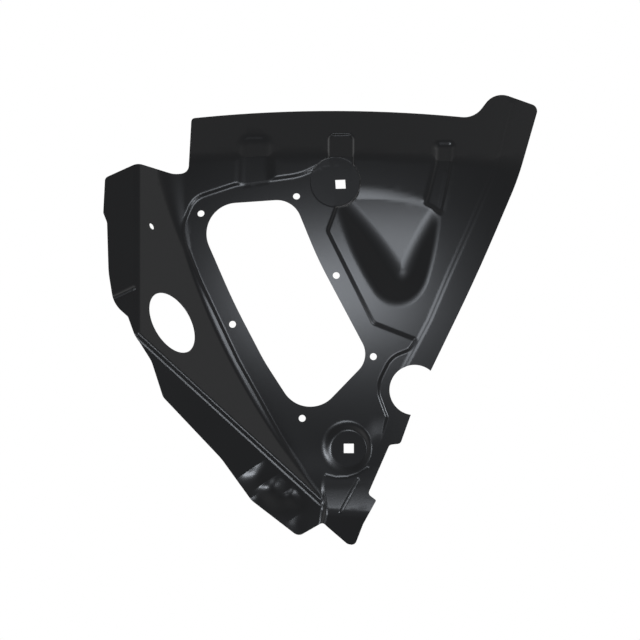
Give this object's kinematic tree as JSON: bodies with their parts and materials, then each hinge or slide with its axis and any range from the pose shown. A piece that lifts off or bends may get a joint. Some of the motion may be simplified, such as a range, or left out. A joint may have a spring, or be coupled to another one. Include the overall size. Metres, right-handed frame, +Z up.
{
  "type": "wheel housing panel",
  "caption": "Pressed steel panel of a car's wheel housing, with an arched web round a large window, a sloping side face, weld flanges and square fixing holes.",
  "frame": {"origin": "centre of the square hole in the lower raised seat, on the seat's front face", "axes": "+Z up as in the picture and the panel's longest side, +Y away from the viewer, through the panel's shortest side, +X to the viewer's right"},
  "size_m": [0.4339, 0.2627, 0.4499],
  "materials": {
    "panel": "black satin dip primer"
  },
  "bodies": {
    "root": {"wheel_housing_panel": "panel"}
  },
  "joints": []
}
